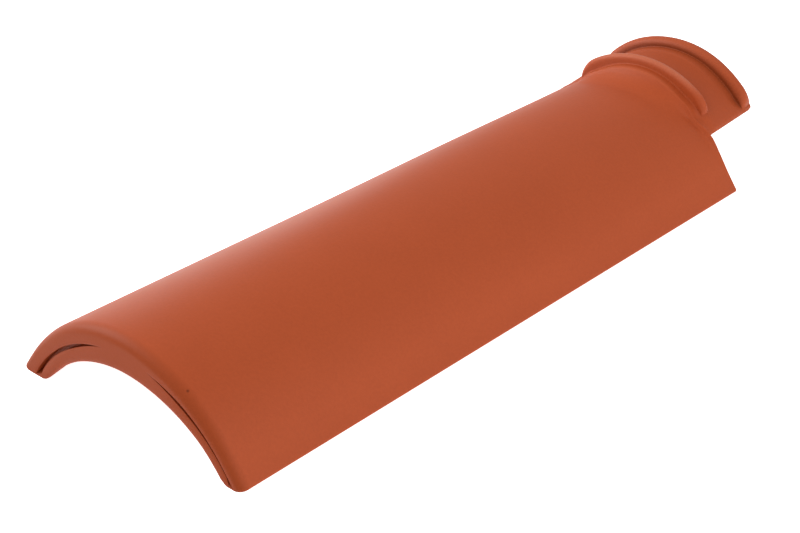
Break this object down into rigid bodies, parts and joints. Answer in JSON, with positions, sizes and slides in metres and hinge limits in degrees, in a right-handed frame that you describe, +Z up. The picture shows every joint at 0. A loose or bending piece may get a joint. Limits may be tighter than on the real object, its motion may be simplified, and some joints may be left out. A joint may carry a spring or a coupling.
{
  "type": "clay roof tile",
  "caption": "Half-round fired-clay roof tile with a raised, beaded collar at its head and drip grooves in its tail rim; it covers a joint between channel tiles.",
  "frame": {"origin": "middle of the tile's length and width, on the plane of its two feet", "axes": "+Y along the tile towards the head with the collar, +Z up from the feet to the crown, +X across the tile"},
  "size_m": [0.1474, 0.4284, 0.059],
  "materials": {
    "fired_clay": "matt, unglazed, natural red"
  },
  "bodies": {
    "root": {"roof_tile": "fired_clay"}
  },
  "joints": []
}
